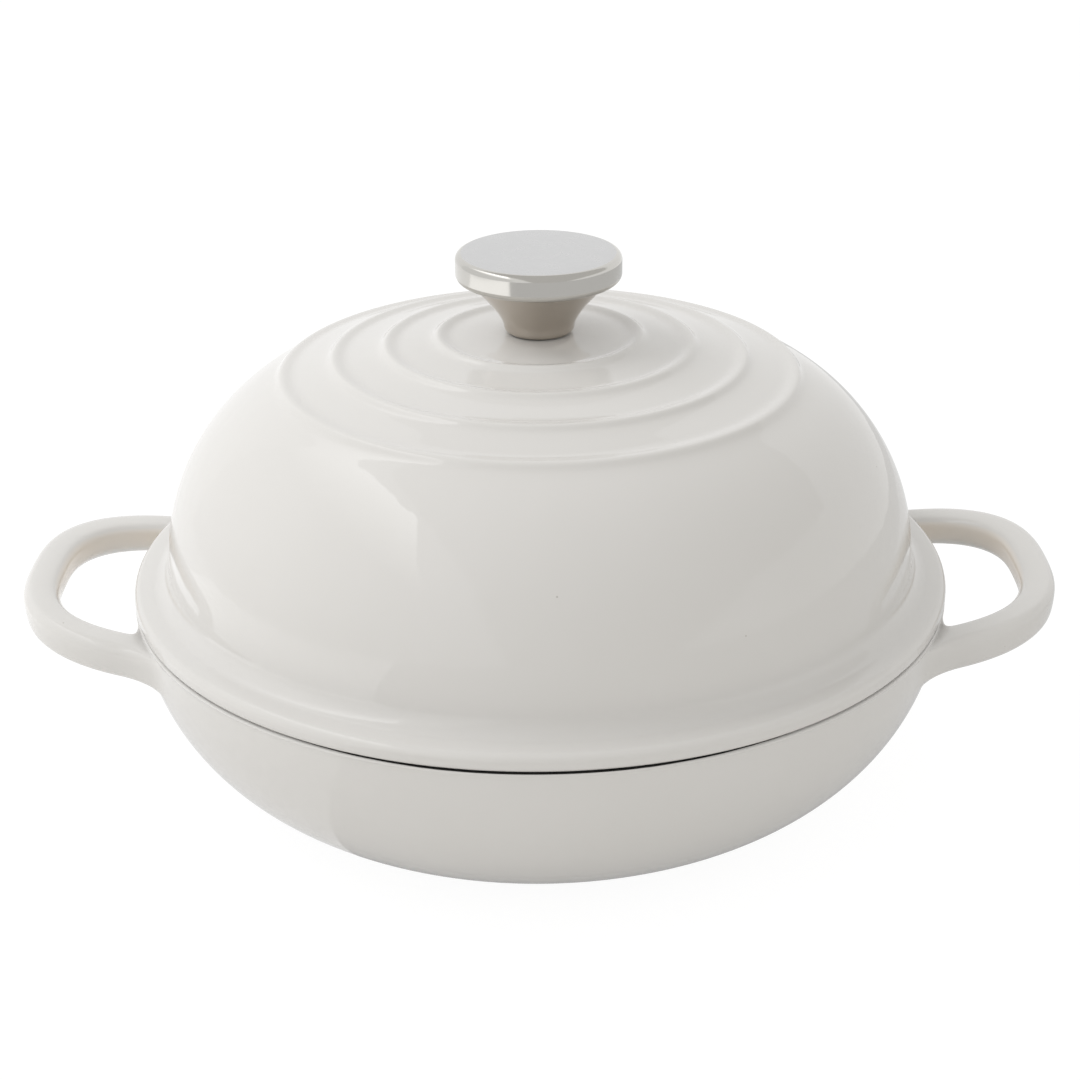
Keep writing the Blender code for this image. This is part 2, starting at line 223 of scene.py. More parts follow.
def line(start, end, steps):
    """Points on a straight line, without its first point."""
    (r, z), (end_r, end_z) = start, end
    return [(r + (end_r - r) * step / steps, z + (end_z - z) * step / steps)
            for step in range(1, steps + 1)]


def cage_round(points):
    """Cage points of a closed loop whose subdivided curve passes through the given points."""
    targets = [Vector(point) for point in points]
    cage = [point.copy() for point in targets]
    for _ in range(24):
        for place, target in enumerate(targets):
            limit = (cage[place - 1] + 4 * cage[place] + cage[(place + 1) % len(cage)]) / 6
            cage[place] += target - limit
    return cage


# Meshes

def spun(outline, steps, closed, sweep=2 * pi, climb=0.0):
    """New bmesh of an (r, z) outline turned about Z, with its faces outward."""
    shape = bmesh.new()
    corners = [shape.verts.new((r, 0.0, z)) for r, z in outline]
    edges = [shape.edges.new(pair) for pair in zip(corners, corners[1:])]
    whole = sweep == 2 * pi
    if closed:
        edges.append(shape.edges.new((corners[-1], corners[0])))
    profile = corners + edges
    if not whole:
        profile.append(shape.faces.new(corners))
    bmesh.ops.spin(shape, geom=profile, cent=(0, 0, 0), axis=(0, 0, 1), dvec=(0, 0, climb / steps),
                   angle=sweep, steps=steps, use_merge=whole)
    bmesh.ops.remove_doubles(shape, verts=shape.verts, dist=1e-7)
    bmesh.ops.recalc_face_normals(shape, faces=shape.faces)
    shape.normal_update()
    return shape


def add_mesh(name, shape, *finishes):
    """Linked object made from a bmesh, which is freed."""
    mesh = bpy.data.meshes.new(name)
    shape.to_mesh(mesh)
    shape.free()
    for finish in finishes:
        mesh.materials.append(finish)
    made = bpy.data.objects.new(name, mesh)
    bpy.context.scene.collection.objects.link(made)
    return made


def add_piece(name, shape, finishes, body, slot, *nodes):
    """Smooth, finished object from a bmesh, riding its body and standing for its CAD nodes."""
    piece = add_mesh(name, shape, *[bpy.data.materials[finish] for finish in finishes])
    piece.data.shade_smooth()
    piece.data.set_sharp_from_angle(angle=radians(40))
    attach(piece, body)
    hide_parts(*nodes)
    return piece


def paint(shape, pick):
    """Give each face the finish number that pick returns for its centre and normal."""
    for face in shape.faces:
        face.material_index = pick(face.calc_center_median(), face.normal)


# Finishes

def set_inputs(tree, node, inputs):
    """Set a node's inputs to values, or link them to other nodes' outputs."""
    for name, value in inputs.items():
        if isinstance(value, NodeSocket):
            tree.links.new(value, node.inputs[name])
        else:
            node.inputs[name].default_value = value


def add_node(tree, kind, inputs=None, **settings):
    """Add a shader node with its settings, and set or link its inputs."""
    made = tree.nodes.new("ShaderNode" + kind)
    for name, value in settings.items():
        setattr(made, name, value)
    set_inputs(tree, made, inputs or {})
    return made


def new_finish(name):
    """Node tree of a new material, its shader and the object coordinates."""
    finish = bpy.data.materials.new(name)
    finish.use_nodes = True
    tree = finish.node_tree
    return tree, tree.nodes["Principled BSDF"], object_coordinates(tree)


def object_coordinates(tree):
    """Position in the object's own space, in metres."""
    return add_node(tree, "TexCoord").outputs["Object"]


def calculate(tree, operation, *values):
    """Result of a sum on numbers or sockets."""
    return add_node(tree, "Math", dict(enumerate(values)), operation=operation).outputs["Value"]


def remap(tree, value, from_min, from_max, to_min, to_max):
    """Value moved from one range to another and kept within it."""
    return add_node(tree, "MapRange", {
        "Value": value, "From Min": from_min, "From Max": from_max,
        "To Min": to_min, "To Max": to_max}).outputs["Result"]


def noise(tree, coordinates, scale, detail):
    """Noise factor with a number of waves per metre."""
    return add_node(tree, "TexNoise", {
        "Vector": coordinates, "Scale": scale, "Detail": detail}).outputs["Fac"]


def blend(tree, factor, first, second):
    """Colour that runs from a first to a second, each given as a triple or a socket."""
    ends = [tint if isinstance(tint, NodeSocket) else (*tint, 1.0)
            for tint in (first, second)]
    return add_node(tree, "Mix", {"Factor": factor, 6: ends[0], 7: ends[1]},
                    data_type="RGBA").outputs[2]


def bump(tree, height, strength, distance, **below):
    """Normal that a height factor tilts; distance is the height of its full swing in metres."""
    return add_node(tree, "Bump", {
        "Height": height, "Strength": strength, "Distance": distance, **below}).outputs["Normal"]


def distance(tree, vector):
    """Length of a vector."""
    return add_node(tree, "VectorMath", {0: vector}, operation="LENGTH").outputs["Value"]


def radius_and_axes(tree, coordinates):
    """Distance from the Z axis, and the coordinates one by one."""
    axes = add_node(tree, "SeparateXYZ", {"Vector": coordinates}).outputs
    flat = add_node(tree, "CombineXYZ", {"X": axes["X"], "Y": axes["Y"]}).outputs["Vector"]
    return distance(tree, flat), axes


ENAMEL_IOR = 1.5
SILICONE_IOR = 1.43


def painted_bounce_mask(tree, coordinates, handle, rim_radius):
    """Factor that is 1 on the sides of the handles' openings, where a warm bounce light is
    painted.
    """
    radius, axes = radius_and_axes(tree, coordinates)
    beyond = remap(tree, radius, rim_radius + 0.0008, rim_radius + 0.0030, 0.0, 1.0)
    half_length = handle.reach - handle.tip_width - handle.root_centre
    half_width = handle.span / 2 - handle.bar_width
    powers = []
    for axis, middle, half in (("X", handle.root_centre, half_length), ("Y", 0.0, half_width)):
        place = calculate(tree, "ABSOLUTE", axes[axis])
        share = calculate(tree, "MULTIPLY_ADD", place, 1 / half, -middle / half)
        share = calculate(tree, "ABSOLUTE", share)
        powers.append(calculate(tree, "POWER", share, handle.squareness))
    within = remap(tree, calculate(tree, "ADD", *powers), 1.12, 1.02, 0.0, 1.0)
    return calculate(tree, "MULTIPLY", beyond, within)


def gloss_enamel(colours, handle, rim_radius):
    """Vitreous enamel fired on cast iron: a glassy white coat that lies a little unevenly.

    The eye gets sharp but slightly wavy reflections, a faint warm drift where the coat is thinner,
    a painted warm bounce light inside the handles' openings and a rare tiny pinhole.
    """
    tree, shader, coordinates = new_finish("vitreous_enamel_white")
    drift = noise(tree, coordinates, 22.0, 3.0)
    tone = blend(tree, drift, colours.enamel, colours.enamel_thin)
    # Painted warm bounce light on the sides of the handles' openings, blended into the enamel
    opening = painted_bounce_mask(tree, coordinates, handle, rim_radius)
    warm = blend(tree, opening, tone, colours.painted_bounce_beige)
    cells = add_node(tree, "TexVoronoi", {"Vector": coordinates, "Scale": 42.0, "Randomness": 1.0})
    pinhole = remap(tree, cells.outputs["Distance"], 0.006, 0.014, 0.55, 0.0)
    wave = bump(tree, noise(tree, coordinates, 95.0, 1.0), 1.0, 0.00008)
    peel = bump(tree, noise(tree, coordinates, 420.0, 1.0), 1.0, 0.000008, Normal=wave)
    set_inputs(tree, shader, {
        "Base Color": blend(tree, pinhole, warm, srgb("#8E887F")),
        "Roughness": remap(tree, drift, 0.0, 1.0, 0.025, 0.055),
        "Normal": peel, "IOR": ENAMEL_IOR})


def matte_enamel(colours):
    """Matte black ground-coat enamel on the lid's seat and lip: dark, dry and faintly pitted."""
    tree, shader, coordinates = new_finish("matte_black_enamel")
    grain = noise(tree, coordinates, 900.0, 3.0)
    set_inputs(tree, shader, {
        "Base Color": blend(tree, grain, colours.black_enamel, srgb("#252322")),
        "Roughness": 0.62, "Normal": bump(tree, grain, 0.6, 0.00005), "IOR": ENAMEL_IOR})


def rim_enamel(colours, rim_radius):
    """Rim, wiped clean of white before firing: black on its flat face and white at its outer edge.

    The eye gets a black line under the lid, broadest at front and back, with a wandering edge.
    """
    tree, shader, coordinates = new_finish("wiped_rim_enamel")
    radius, axes = radius_and_axes(tree, coordinates)
    side = calculate(tree, "POWER", axes["X"], 2.0)
    band = remap(tree, side, 0.0, rim_radius ** 2, rim_radius - 0.0002, rim_radius - 0.0044)
    wander = noise(tree, coordinates, 160.0, 2.0)
    wander = calculate(tree, "MULTIPLY_ADD", wander, -0.0003, 0.00015)
    beyond = calculate(tree, "SUBTRACT", radius, calculate(tree, "ADD", band, wander))
    white = remap(tree, beyond, -0.0001, 0.0001, 0.0, 1.0)
    set_inputs(tree, shader, {
        "Base Color": blend(tree, white, colours.black_enamel, colours.enamel),
        "Roughness": remap(tree, white, 0.0, 1.0, 0.62, 0.08), "IOR": ENAMEL_IOR})


def satin_enamel(colours):
    """Satin black enamel inside pan and lid: low sheen over the casting's fine texture."""
    tree, shader, coordinates = new_finish("satin_black_enamel")
    sand = noise(tree, coordinates, 520.0, 4.0)
    cloud = noise(tree, coordinates, 30.0, 2.0)
    set_inputs(tree, shader, {
        "Base Color": blend(tree, cloud, colours.interior, srgb("#2F2D2B")),
        "Roughness": remap(tree, cloud, 0.0, 1.0, 0.34, 0.46),
        "Normal": bump(tree, sand, 0.5, 0.00012), "IOR": ENAMEL_IOR})


def turned_steel(name, tint, roughness, spread, groove):
    """Stainless steel finished on a lathe: fine rings round the axis that soften its reflections.

    The real grooves, about 0.05 mm apart, are drawn several times coarser, so that they show.
    """
    tree, shader, coordinates = new_finish(name)
    radius, axes = radius_and_axes(tree, coordinates)
    profile = add_node(tree, "CombineXYZ", {"X": radius, "Z": axes["Z"]}).outputs["Vector"]
    rings = noise(tree, profile, 3200.0, 2.0)
    mottle = noise(tree, coordinates, 160.0, 3.0)
    worn = calculate(tree, "ADD", rings, mottle)
    set_inputs(tree, shader, {
        "Base Color": blend(tree, mottle, tint, [channel * 0.97 for channel in tint]),
        "Roughness": remap(tree, worn, 0.7, 1.3, roughness - spread, roughness + spread),
        "Normal": bump(tree, rings, 1.0, groove), "Metallic": 1.0})


def zinc_plate(colours):
    """Zinc plating on the screw, washers and insert: pale grey with a cloudy, bluish sheen."""
    tree, shader, coordinates = new_finish("zinc_plated_steel")
    cloud = noise(tree, coordinates, 700.0, 3.0)
    set_inputs(tree, shader, {
        "Base Color": blend(tree, cloud, colours.zinc, srgb("#A2A6AB")),
        "Roughness": remap(tree, cloud, 0.0, 1.0, 0.26, 0.44), "Metallic": 1.0})


def silicone(colours):
    """Moulded black silicone: soft, dry and very slightly dusty."""
    tree, shader, coordinates = new_finish("black_silicone_rubber")
    dust = noise(tree, coordinates, 1500.0, 2.0)
    set_inputs(tree, shader, {
        "Base Color": blend(tree, dust, colours.silicone, srgb("#2B2A29")),
        "Roughness": 0.6, "IOR": SILICONE_IOR})


# Pan

PAN_COLUMNS = 84
ROOT_FIRST_COLUMN = 3
ROOT_COLUMNS = 3
ROOT_ROWS = 5
ROOT_TOP_DROP = 0.0011
ROOT_CLEARANCE = 0.0029
BAR_STATIONS = 26
BAR_POWER = 2 / 2.9
BAR_ANGLES = (104, 76, 52, 31, 10, -10, -31, -52, -76, -104, -128, -149, -170, 170, 149, 128)
ROOT_DEPTH = 0.0114


def pan_outline(size):
    """Outline of the bowl from the base's middle, up outside, over the rim and down inside."""
    rim = size.rim_radius
    top = size.rim_height
    base_r = rim - size.curve_radius
    wall_r = size.curve_radius - size.lip
    edge = size.rim_edge
    root_top = top - ROOT_TOP_DROP
    root_low = root_top - ROOT_DEPTH

    outline = [(0.0, size.foot_recess), (0.020, size.foot_recess), (0.040, size.foot_recess)]
    outline += [(base_r * 0.80, size.foot_recess), (base_r * 0.83, size.foot_recess * 0.5)]
    outline += [(base_r * 0.86, 0.0), (base_r * 0.93, 0.0)]
    climb = degrees(acos((top - root_low) / top))
    for step in range(11):
        angle = radians(4 + (climb - 4) * step / 11)
        outline.append((base_r + wall_r * sin(angle), top - top * cos(angle)))
    for row in range(ROOT_ROWS + 1):
        height = root_low + (root_top - root_low) * row / ROOT_ROWS
        share = (top - height) / top
        outline.append((base_r + wall_r * sqrt(1 - share * share), height))
    mouth = rim - size.wall
    outline += [(rim - size.lip * 0.15, top - edge * 1.05)]
    outline += arc(rim - edge, top - edge, edge, 15, 90, 3)
    outline += line((rim - edge, top), (mouth + edge, top), 3)
    outline += arc(mouth + edge, top - edge, edge, 90, 180, 3)[1:]
    outline += [(mouth, top - edge * 2.2)]
    depth = top - size.floor
    reach = mouth - base_r
    for step in range(1, 12):
        angle = radians(86 - 7.8 * step)
        outline.append((base_r + reach * sin(angle), top - depth * cos(angle)))
    outline += [(base_r * 0.8, size.floor), (base_r * 0.4, size.floor), (0.0, size.floor)]
    return outline


def signed_power(value, power):
    """Power of a value's size, with the value's own sign."""
    return copysign(abs(value) ** power, value)


def handle_plan(size):
    """Centreline of the right handle seen from above, from its front root to its back root."""
    reach = size.reach - size.bar_width / 2 - size.root_centre
    half_span = (size.span - size.bar_width) / 2
    power = 2 / size.squareness
    dense = []
    for step in range(721):
        angle = radians(-90 + step / 4)
        across = signed_power(cos(angle), power)
        along = signed_power(sin(angle), power)
        dense.append(Vector((size.root_centre + reach * across, half_span * along)))
    return dense


def build_handle(shape, size, pan, side, root_rings):
    """Sweep a bar between the two open root rings of the bowl and bridge it on."""
    dense = handle_plan(size)
    clear = pan.rim_radius + ROOT_CLEARANCE
    free = [point for point in dense if point.length >= clear]
    travel = [0.0]
    for before, after in zip(free, free[1:]):
        travel.append(travel[-1] + (after - before).length)
    rings = []
    half_depth = size.bar_depth / 2
    half_span = (size.span - size.bar_width) / 2
    root_x = sqrt(pan.rim_radius ** 2 - half_span ** 2)
    tip_x = size.reach - size.bar_width / 2
    for station in range(BAR_STATIONS + 1):
        wanted = travel[-1] * station / BAR_STATIONS
        place = min(range(len(travel)), key=lambda index: abs(travel[index] - wanted))
        point = free[place]
        ahead = (free[min(place + 4, len(free) - 1)] - free[max(place - 4, 0)]).normalized()
        outward = Vector((ahead.y, -ahead.x))
        nearness = max((point.x - root_x) / (tip_x - root_x), 0.0) ** 2
        half_width = (size.bar_width + (size.tip_width - size.bar_width) * nearness) / 2
        centre = point + outward * (size.bar_width / 2 - half_width)
        ring_points = []
        for angle in map(radians, BAR_ANGLES):
            across = signed_power(cos(angle), BAR_POWER)
            up = signed_power(sin(angle), BAR_POWER)
            deep = half_depth * (1 + size.heel * across)
            across *= half_width * (1 - size.taper * (1 - up) / 2)
            plan = centre + outward * across
            top = pan.rim_height - size.drop + size.rise * (plan.x - root_x)
            ring_points.append((side * plan.x, plan.y, top + deep * (up - 1)))
        ring = [shape.verts.new(co) for co in cage_round(ring_points)]
        rings.append([shape.edges.new((ring[place - 1], vert)) for place, vert in enumerate(ring)])
    for near, far in zip(rings, rings[1:]):
        bmesh.ops.bridge_loops(shape, edges=near + far)
    for root, end in ((root_rings[0], rings[0]), (root_rings[1], rings[-1])):
        bmesh.ops.bridge_loops(shape, edges=root + end)


def open_root(shape, pan, centre_deg):
    """Cut the patch where a handle branch grows out of the wall and return its rim of edges."""
    root_top = pan.rim_height - ROOT_TOP_DROP
    middle_z = root_top - ROOT_DEPTH / 2
    column = 360 / PAN_COLUMNS
    patch = []
    for face in shape.faces:
        centre = face.calc_center_median()
        if hypot(centre.x, centre.y) < pan.rim_radius - pan.wall * 0.9 or centre.z > root_top:
            continue
        turn = (degrees(atan2(centre.y, centre.x)) - centre_deg + 180) % 360 - 180
        if abs(turn) < column * ROOT_COLUMNS / 2 and abs(centre.z - middle_z) < ROOT_DEPTH / 2:
            if face.normal.dot(Vector((centre.x, centre.y, 0.0))) > 0:
                patch.append(face)
    if len(patch) != ROOT_COLUMNS * ROOT_ROWS:
        raise RuntimeError(f"a handle root takes {len(patch)} faces of the wall")
    inside = set(patch)
    ring = [edge for face in patch for edge in face.edges
            if len(inside.intersection(edge.link_faces)) == 1]
    bmesh.ops.delete(shape, geom=patch, context="FACES")
    return [edge for edge in ring if edge.is_valid]


class BREADOVEN_OT_pan(Operator):
    """Build the pan casting with its two loop handles"""

    bl_idname = "breadoven.pan"
    bl_label = "Pan"

    def execute(self, context):
        pan = context.scene.breadoven_pan
        handle = context.scene.breadoven_handle
        swell = 3 / (2 + cos(2 * pi / PAN_COLUMNS))
        cage = [(radius * swell, height) for radius, height in pan_outline(pan)]
        shape = spun(cage, PAN_COLUMNS, closed=False)
        focus = Vector((0.0, 0.0, pan.rim_height))

        def pick(centre, normal):
            radius = hypot(centre.x, centre.y)
            if normal.z > 0.9 and centre.z > pan.rim_height - pan.rim_edge:
                return 1
            return 2 if normal.dot(centre - focus) < 0 and centre.z < pan.rim_height else 0

        paint(shape, pick)
        centre_deg = (ROOT_FIRST_COLUMN + ROOT_COLUMNS / 2) * 360 / PAN_COLUMNS
        for side, turn in ((1, 0.0), (-1, 180.0)):
            roots = [open_root(shape, pan, turn - side * centre_deg),
                     open_root(shape, pan, turn + side * centre_deg)]
            build_handle(shape, handle, pan, side, roots)
        bmesh.ops.recalc_face_normals(shape, faces=shape.faces)
        finishes = ("vitreous_enamel_white", "wiped_rim_enamel", "satin_black_enamel")
        piece = add_piece("pan_casting", shape, finishes, "pan", "pan_enamel", "pan")
        smooth = piece.modifiers.new("cast_surface", "SUBSURF")
        smooth.levels = 2
        smooth.render_levels = 2
        return {"FINISHED"}


# Lid

FLANGE_STEP = 0.0003  # upright step between the flange's top and its fillet
CREST_OUTER, CREST_INNER = 0.0052, 0.0034  # reach of the close steps outside and inside a crest
HOLE_TOP_EDGE = 0.0006
HOLE_LOW_EDGE = 0.0004
WASHER_SEAT = 0.010  # radius of the flat under the crown that the washers press on
WALL_DROP = 0.0045  # height of the straight inner wall under the dome


def dome_frame(size):
    """Shoulder axis radius, shoulder height, crown centre height and join radius of the dome."""
    foot = size.seat_height + size.flange_thickness + FLANGE_STEP + size.fillet
    axis_r = size.dome_radius - size.shoulder
    centre_z = foot - sqrt((size.crown - size.shoulder) ** 2 - axis_r ** 2)
    return axis_r, foot, centre_z, size.crown * axis_r / (size.crown - size.shoulder)


def dome_at(size, radius, inset=0.0, lift=0.0):
    """Point on the dome's skin, raised by lift along its normal."""
    axis_r, foot, centre_z, join = dome_frame(size)
    if radius < join * (1 - inset / size.crown):
        across, curve, base_z = radius, size.crown - inset, centre_z
    else:
        across, curve, base_z = radius - axis_r, size.shoulder - inset, foot
    up = sqrt(max(curve ** 2 - across ** 2, 0.0))
    return radius + lift * across / curve, base_z + up * (1 + lift / curve)


def ridge_lift(size, radius):
    """Height of the raised rings above the dome at a radius."""
    total = 0.0
    for ridge in range(size.ridge_count):
        offset = radius - size.ridge_first - ridge * size.ridge_pitch
        if offset < 0:
            total += exp(-(offset / size.ridge_inner) ** 2)
        else:
            total += (1 - size.foot_share) * exp(-(offset / size.ridge_outer) ** 2)
            total += size.foot_share * exp(-(offset / size.ridge_foot) ** 2)
    return total * size.ridge_height


def ridge_radii(size):
    """Radii across the raised rings from outside in, close together on the rings' flanks."""
    half = size.ridge_pitch / 2
    stops = ((half, CREST_OUTER, 4), (CREST_OUTER, -CREST_INNER, 32), (-CREST_INNER, -half, 7))
    radii = []
    for ridge in reversed(range(size.ridge_count)):
        crest = size.ridge_first + ridge * size.ridge_pitch
        for start, end, steps in stops:
            radii += [crest + start + (end - start) * step / steps for step in range(steps)]
    return radii + [size.ridge_first - half]


def lid_outline(size):
    """Outline of the lid from its seat, round the flange, over the dome and back inside."""
    seat = size.seat_height
    top = seat + size.flange_thickness
    axis_r, foot, _, join = dome_frame(size)
    rim = size.flange_radius
    lower, upper = size.flange_undercut, size.flange_edge
    outline = arc(rim - lower, seat + lower, lower, -90, 0, 8)
    outline += arc(rim - upper, top - upper, upper, 0, 84, 9)
    outline += arc(size.dome_radius + size.fillet, foot, size.fillet, -95, -180, 14)
    shoulder_top = degrees(acos((join - axis_r) / size.shoulder))
    radii = ridge_radii(size)
    stop = degrees(acos((radii[0] - axis_r) / size.shoulder))
    side = arc(axis_r, foot, size.shoulder, 0, stop, 40)[1:-1]
    outline += [dome_at(size, radius) for radius, _ in side]
    outline += [dome_at(size, radius, 0.0, ridge_lift(size, radius)) for radius in radii]
    first = radii[-1]
    hole = size.hole_radius
    inward = hole + HOLE_TOP_EDGE - first
    outline += [dome_at(size, first + inward * step / 8) for step in range(1, 9)]
    pad_z = outline[-1][1]
    outline += [(hole, pad_z - HOLE_TOP_EDGE), (hole, pad_z - size.wall + HOLE_LOW_EDGE)]
    under = dome_at(size, WASHER_SEAT, size.wall)
    outline += [(hole + HOLE_LOW_EDGE, under[1]), (WASHER_SEAT * 0.6, under[1]), under]
    inner_join = join * (1 - size.wall / size.crown)
    outline += [dome_at(size, WASHER_SEAT + (inner_join - WASHER_SEAT) * step / 14, size.wall)
                for step in range(1, 14)]
    curve = size.shoulder - size.wall
    outline += reversed(arc(axis_r, foot, curve, 0, shoulder_top, 30))
    inner = size.dome_radius - size.wall
    outline += line((inner, foot), (inner, foot - WALL_DROP), 2)
    lip = size.lip_radius
    lip_in = lip - size.lip_width
    low = seat - size.lip_depth
    outline += line(outline[-1], (lip_in, seat - 0.0004), 5)
    outline += [(lip_in + 0.0003, low + 0.0008), (lip_in + 0.0007, low + 0.0002)]
    outline += [(lip_in + 0.0012, low), (lip - 0.0014, low), (lip - 0.0008, low + 0.0002)]
    outline += [(lip - 0.0004, low + 0.0008), (lip, seat - 0.0005)]
    outline += [(lip + 0.0002, seat - 0.0001), (lip + 0.0006, seat)]
    return outline


class BREADOVEN_OT_lid(Operator):
    """Build the lid casting with its flange, dome and raised rings"""

    bl_idname = "breadoven.lid"
    bl_label = "Lid"

    def execute(self, context):
        size = context.scene.breadoven_lid
        shape = spun(lid_outline(size), 240, closed=True)
        focus = Vector((0.0, 0.0, size.seat_height))
        _, foot, _, _ = dome_frame(size)

        def pick(centre, normal):
            radius = hypot(centre.x, centre.y)
            if centre.z < foot and radius > size.dome_radius - size.wall + 0.002:
                below = centre.z < size.seat_height + 0.00005
                hollow = radius < size.lip_radius and normal.dot(centre - focus) < 0
                if below and radius > size.lip_radius:
                    return 3
                return 1 if below or hollow else 0
            return 2 if normal.dot(centre - focus) < 0 else 0

        paint(shape, pick)
        finishes = ("vitreous_enamel_white", "matte_black_enamel",
                    "satin_black_enamel", "wiped_rim_enamel")
        add_piece("lid_casting", shape, finishes, "lid", "lid_enamel", "lid")
        return {"FINISHED"}


# Knob

SCREW_GAP = 0.0005  # room round the screw in its holes
RECESS_GAP = 0.0001  # room round the gasket in the collar's foot
MOUTH_EDGE = 0.0003


def neck_radius(size, share):
    """Outer radius of the collar at a share of its height."""
    return size.neck_foot + (size.neck_top - size.neck_foot) * share ** size.neck_power


def collar_outline(size):
    """Outline of the collar from its hole, round its foot, up outside and down inside."""
    low, high = NECK_BOX[0].z, NECK_BOX[1].z
    hole = size.screw_radius + SCREW_GAP
    sole = low - size.foot_skirt
    recess = GASKET_BOX[1].x + RECESS_GAP
    bulge = size.neck_foot - size.neck_sole
    outline = [(hole, low), (recess, low), (recess, sole + 0.0001), (size.neck_sole, sole)]
    for step in range(1, 9):
        angle = radians(90 * step / 8)
        outline.append((size.neck_sole + bulge * sin(angle),
                        sole + size.foot_height * (1 - cos(angle))))
    start = sole + size.foot_height
    shares = [step / 28 for step in range(1, 29)]
    outline += [(neck_radius(size, share), start + (high - start) * share) for share in shares]
    outline += [(neck_radius(size, share) - size.sheet, start + (high - start) * share)
                for share in reversed(shares)]
    return outline + [(size.neck_foot - size.sheet * 1.3, start), (hole, low + size.sheet)]


def disc_outline(size):
    """Outline of the hollow disc from its top's middle, round its side and back inside."""
    low, high = CAP_BOX[0].z, size.cap_top
    rim = size.cap_radius
    mouth = size.neck_top - size.sheet * 1.5
    upper, lower = size.cap_top_edge, size.cap_lower_edge
    outline = [(0.0, high), (rim * 0.5, high)]
    outline += arc(rim - upper, high - upper, upper, 90, 0, 14)
    outline += arc(rim - lower, low + lower, lower, 0, -90, 10)
    outline += [(mouth + MOUTH_EDGE, low), (mouth, low + MOUTH_EDGE), (mouth, low + size.sheet)]
    inner = rim - size.sheet
    corner = lower - size.sheet
    outline += arc(inner - corner, low + lower, corner, -90, 0, 4)
    corner = upper - size.sheet
    outline += arc(inner - corner, high - upper, corner, 0, 90, 6)
    return outline + [(0.0, high - size.sheet)]


class BREADOVEN_OT_knob(Operator):
    """Build the knob's disc and flared collar"""

    bl_idname = "breadoven.knob"
    bl_label = "Knob"

    def execute(self, context):
        size = context.scene.breadoven_knob
        shape = spun(collar_outline(size), 160, closed=True)
        add_piece("knob_collar", shape, ("bright_stainless_steel",), "lid",
                  "polished_steel", "knob_neck")
        shape = spun(disc_outline(size), 192, closed=False)
        paint(shape, lambda centre, normal: 0 if normal.z > 0.995 else 1)
        add_piece("knob_disc", shape, ("satin_stainless_steel", "polished_stainless_steel"), "lid",
                  "satin_steel", "knob_cap")
        return {"FINISHED"}


# Knob fixing

THREAD_GAP = 0.0003  # room round the screw in its insert
THREAD_DEPTH = 0.0005
PLAIN_SHANK = 0.003  # shank without thread under the head
PLAIN_ENDS = 0.004  # the same and the part at the shank's end
HEAD_EDGE = 0.0008
SPLIT_SWEEP = radians(348)
SPLIT_CLIMB = 0.0003
CUTTER_LENGTH = 0.03


def ring_outline(inner, outer, low, high, edge):
    """Outline of a flat ring with rounded edges."""
    outline = arc(outer - edge, low + edge, edge, -90, 0, 3)
    outline += arc(outer - edge, high - edge, edge, 0, 90, 3)
    outline += arc(inner + edge, high - edge, edge, 90, 180, 3)
    outline += arc(inner + edge, low + edge, edge, 180, 270, 3)
    return outline


def screw_outline(size):
    """Outline of the screw from its head's underside, up the threaded shank to its end."""
    low, high = SCREW_BOX[0].z, SCREW_BOX[1].z
    head_r = SCREW_BOX[1].x
    head_top = low + size.head_height
    shank = size.screw_radius
    outline = [(0.0, low), (head_r * 0.5, low)]
    outline += arc(head_r - HEAD_EDGE, low + HEAD_EDGE, HEAD_EDGE, -90, 0, 5)
    outline += [(head_r, head_top - 0.0001), (head_r - 0.0001, head_top), (shank, head_top)]
    pitch = size.thread_pitch
    for turn in range(int((high - head_top - PLAIN_ENDS) / pitch)):
        base = head_top + PLAIN_SHANK + turn * pitch
        outline += [(shank, base), (shank - THREAD_DEPTH, base + pitch * 0.5)]
    outline += [(shank, high - shank / 4), (shank * 3 / 4, high), (0.0, high)]
    return outline


class BREADOVEN_OT_fixing(Operator):
    """Build the gasket, insert, washers and screw that hold the knob"""

    bl_idname = "breadoven.fixing"
    bl_label = "Knob fixing"

    def execute(self, context):
        size = context.scene.breadoven_knob
        hole = size.screw_radius + SCREW_GAP
        zinc = ("zinc_plated_steel",), "zinc_steel"
        rubber = ("black_silicone_rubber",), "black_silicone"
        thread = size.screw_radius + THREAD_GAP
        for name, node, box, inner, edge, (finishes, slot) in (
                ("knob_foot_gasket", "knob_gasket", GASKET_BOX, hole, 0.0003, rubber),
                ("knob_threaded_insert", "knob_insert", INSERT_BOX, thread, 0.0004, zinc),
                ("knob_flat_washer", "knob_washer", WASHER_BOX, hole, 0.0002, zinc)):
            shape = spun(ring_outline(inner, box[1].x, box[0].z, box[1].z, edge), 96, closed=True)
            add_piece(name, shape, finishes, "lid", slot, node)
        low, high = LOCK_BOX
        outline = ring_outline(hole, high.x, low.z, high.z - SPLIT_CLIMB, 0.0002)
        shape = spun(outline, 96, True, SPLIT_SWEEP, SPLIT_CLIMB)
        add_piece("knob_split_washer", shape, zinc[0], "lid", "zinc_steel", "knob_lock_washer")
        shape = spun(screw_outline(size), 96, closed=False)
        screw = add_piece("knob_fixing_screw", shape, zinc[0], "lid", "zinc_steel", "knob_screw")
        cut_slot(screw, size)
        return {"FINISHED"}


